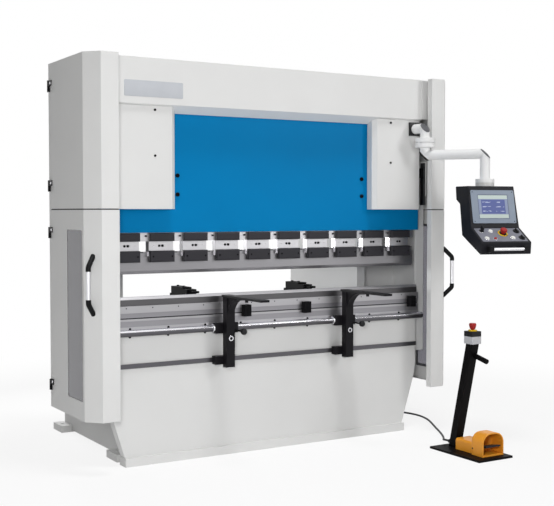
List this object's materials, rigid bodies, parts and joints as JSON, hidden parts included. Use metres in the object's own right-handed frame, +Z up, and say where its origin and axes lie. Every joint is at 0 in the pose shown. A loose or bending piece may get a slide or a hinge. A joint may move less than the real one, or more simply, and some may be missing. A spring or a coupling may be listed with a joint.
{
  "type": "cnc press brake",
  "caption": "Hydraulic press brake with blue ram, clamped punch over a V die, folded side doors, sheet supports, back gauge, swivel control pendant and a pedal stand.",
  "frame": {"origin": "floor level, in the middle of the four anchor holes", "axes": "+Z up, +X along the bed to the pendant side, -Y toward the operator"},
  "size_m": [2.4805, 2.125, 2.13],
  "materials": {
    "grey_paint": "light grey-white paint, fine orange peel, satin",
    "blue_paint": "blue machine paint, satin",
    "motor_paint": "dark grey machine paint",
    "bright_steel": "ground tool steel",
    "black_steel": "black oxide and black paint",
    "black_plastic": "black moulded plastic",
    "scale_metal": "clear anodised aluminium",
    "charcoal_paint": "charcoal textured powder coat",
    "bezel_plastic": "grey bezel foil",
    "tinted_pane": "smoke-tinted clear plastic",
    "white_plastic": "white button caps",
    "box_plastic": "light grey plastic box",
    "red_plastic": "signal red moulding",
    "orange_paint": "orange powder coat",
    "cable_rubber": "black cable jacket"
  },
  "bodies": {
    "base": {"side_frames": "grey_paint", "frame_ties": "grey_paint", "pump_motor": "motor_paint", "bed": "grey_paint", "crossbeam_cover": "grey_paint", "cylinder_covers": "grey_paint", "cylinders": "motor_paint", "cabinet": "grey_paint", "die_holder": "bright_steel", "lower_die": "bright_steel", "die_clamps": "black_steel", "guide_rails": "bright_steel", "housings": "grey_paint", "hinge_pins": "black_steel", "scale_frames": "bright_steel", "linear_scales": "scale_metal", "gauge_rails": "bright_steel", "gauge_motor": "motor_paint", "arm_bracket": "grey_paint", "pedal_stand": "black_steel", "estop_box": "box_plastic", "foot_switch": "orange_paint", "pedal_cable": "cable_rubber", "cable_glands": "black_plastic"},
    "ram": {"ram": "blue_paint", "piston_rods": "bright_steel", "clamp_blocks": "bright_steel", "clamp_bars": "black_steel", "punch": "bright_steel", "scale_readers": "black_steel"},
    "door_upper_left": {"door_upper_left": "grey_paint"},
    "door_lower_left": {"door_lower_left": "grey_paint", "window_left": "tinted_pane", "handle_left": "black_plastic"},
    "door_upper_right": {"door_upper_right": "grey_paint"},
    "door_lower_right": {"door_lower_right": "grey_paint", "window_right": "tinted_pane", "handle_right": "black_plastic"},
    "gauge_beam": {"gauge_beam": "grey_paint"},
    "gauge_screw": {"gauge_screw": "bright_steel"},
    "finger_left": {"finger_left": "black_steel"},
    "finger_right": {"finger_right": "black_steel"},
    "support_arm_left": {"support_arm_left": "black_steel"},
    "arm_knob_left": {"arm_knob_left": "black_plastic"},
    "support_arm_right": {"support_arm_right": "black_steel"},
    "arm_knob_right": {"arm_knob_right": "black_plastic"},
    "pendant_arm": {"pendant_arm": "grey_paint"},
    "pendant": {"pendant": "charcoal_paint", "screen": "bezel_plastic", "pendant_handle": "scale_metal"},
    "stop_button": {"stop_button": "red_plastic"},
    "white_button_upper": {"white_button_upper": "white_plastic"},
    "white_button_left": {"white_button_left": "white_plastic"},
    "white_button_right": {"white_button_right": "white_plastic"},
    "red_button": {"red_button": "red_plastic"},
    "selector_upper": {"selector_upper": "black_plastic"},
    "selector_lower": {"selector_lower": "black_plastic"},
    "key_switch": {"key_switch": "black_plastic"},
    "foot_pedal": {"foot_pedal": "black_plastic"},
    "pedal_estop": {"pedal_estop": "red_plastic"}
  },
  "joints": [
    {"name": "ram_slide", "type": "slide", "parent": "base", "child": "ram", "axis": [0, 0, -1], "range_m": [0, 0.126]},
    {"name": "door_upper_left_hinge", "type": "hinge", "parent": "base", "child": "door_upper_left", "pos_m": [-1.171, -0.219, 1.475], "axis": [0, 0, -1], "range_deg": [0, 100]},
    {"name": "door_lower_left_hinge", "type": "hinge", "parent": "base", "child": "door_lower_left", "pos_m": [-1.171, -0.219, 0.402], "axis": [0, 0, -1], "range_deg": [0, 100]},
    {"name": "door_upper_right_hinge", "type": "hinge", "parent": "base", "child": "door_upper_right", "pos_m": [1.171, -0.219, 1.475], "axis": [0, 0, 1], "range_deg": [0, 100]},
    {"name": "door_lower_right_hinge", "type": "hinge", "parent": "base", "child": "door_lower_right", "pos_m": [1.171, -0.219, 0.402], "axis": [0, 0, 1], "range_deg": [0, 100]},
    {"name": "gauge_slide", "type": "slide", "parent": "base", "child": "gauge_beam", "axis": [0, 1, 0], "range_m": [-0.08, 0.4]},
    {"name": "gauge_screw_spin", "type": "hinge", "parent": "base", "child": "gauge_screw", "pos_m": [0, 0, 0.556], "axis": [0, 1, 0], "continuous": true},
    {"name": "finger_left_slide", "type": "slide", "parent": "gauge_beam", "child": "finger_left", "axis": [1, 0, 0], "range_m": [-0.3, 0.3]},
    {"name": "finger_right_slide", "type": "slide", "parent": "gauge_beam", "child": "finger_right", "axis": [1, 0, 0], "range_m": [-0.3, 0.3]},
    {"name": "support_arm_left_slide", "type": "slide", "parent": "base", "child": "support_arm_left", "axis": [1, 0, 0], "range_m": [-0.55, 0.3]},
    {"name": "arm_knob_left_turn", "type": "hinge", "parent": "support_arm_left", "child": "arm_knob_left", "pos_m": [-0.272, -0.67, 0.687], "axis": [0, -1, 0], "continuous": true},
    {"name": "support_arm_right_slide", "type": "slide", "parent": "base", "child": "support_arm_right", "axis": [1, 0, 0], "range_m": [-0.3, 0.45]},
    {"name": "arm_knob_right_turn", "type": "hinge", "parent": "support_arm_right", "child": "arm_knob_right", "pos_m": [0.513, -0.67, 0.687], "axis": [0, -1, 0], "continuous": true},
    {"name": "arm_swivel", "type": "hinge", "parent": "base", "child": "pendant_arm", "pos_m": [0.938, -0.796, 1.746], "axis": [0, 0, 1], "range_deg": [-60, 25]},
    {"name": "pendant_swivel", "type": "hinge", "parent": "pendant_arm", "child": "pendant", "pos_m": [1.1415, -1.094, 1.505], "axis": [0, 0, 1], "range_deg": [-60, 60]},
    {"name": "stop_button_press", "type": "slide", "parent": "pendant", "child": "stop_button", "axis": [0.1137, 0.5349, -0.8372], "range_m": [0, 0.004], "stiffness_N_per_m": 2500, "springref_m": -0.002},
    {"name": "white_button_upper_press", "type": "slide", "parent": "pendant", "child": "white_button_upper", "axis": [0.1137, 0.5349, -0.8372], "range_m": [0, 0.004], "stiffness_N_per_m": 1200, "springref_m": -0.002},
    {"name": "white_button_left_press", "type": "slide", "parent": "pendant", "child": "white_button_left", "axis": [0.1137, 0.5349, -0.8372], "range_m": [0, 0.004], "stiffness_N_per_m": 1200, "springref_m": -0.002},
    {"name": "white_button_right_press", "type": "slide", "parent": "pendant", "child": "white_button_right", "axis": [0.1137, 0.5349, -0.8372], "range_m": [0, 0.004], "stiffness_N_per_m": 1200, "springref_m": -0.002},
    {"name": "red_button_press", "type": "slide", "parent": "pendant", "child": "red_button", "axis": [0.1137, 0.5349, -0.8372], "range_m": [0, 0.004], "stiffness_N_per_m": 1200, "springref_m": -0.002},
    {"name": "selector_upper_turn", "type": "hinge", "parent": "pendant", "child": "selector_upper", "pos_m": [1.22157, -1.2692, 1.22332], "axis": [-0.1137, -0.5349, 0.8372], "range_deg": [-45, 45]},
    {"name": "selector_lower_turn", "type": "hinge", "parent": "pendant", "child": "selector_lower", "pos_m": [1.21472, -1.32352, 1.18768], "axis": [-0.1137, -0.5349, 0.8372], "range_deg": [-45, 45]},
    {"name": "key_switch_turn", "type": "hinge", "parent": "pendant", "child": "key_switch", "pos_m": [1.00535, -1.21943, 1.22575], "axis": [-0.1137, -0.5349, 0.8372], "range_deg": [0, 90]},
    {"name": "foot_pedal_press", "type": "hinge", "parent": "base", "child": "foot_pedal", "pos_m": [0.875, -1.388, 0.048], "axis": [1, 0, 0], "range_deg": [0, 12], "stiffness_Nm_per_rad": 8, "springref_deg": -8.59},
    {"name": "pedal_estop_press", "type": "slide", "parent": "base", "child": "pedal_estop", "axis": [0, 0, -1], "range_m": [0, 0.004], "stiffness_N_per_m": 2500, "springref_m": -0.002}
  ],
  "couplings": [
    {"joint": "gauge_screw_spin", "follows": "gauge_slide", "rad_per_m": -251.33}
  ]
}
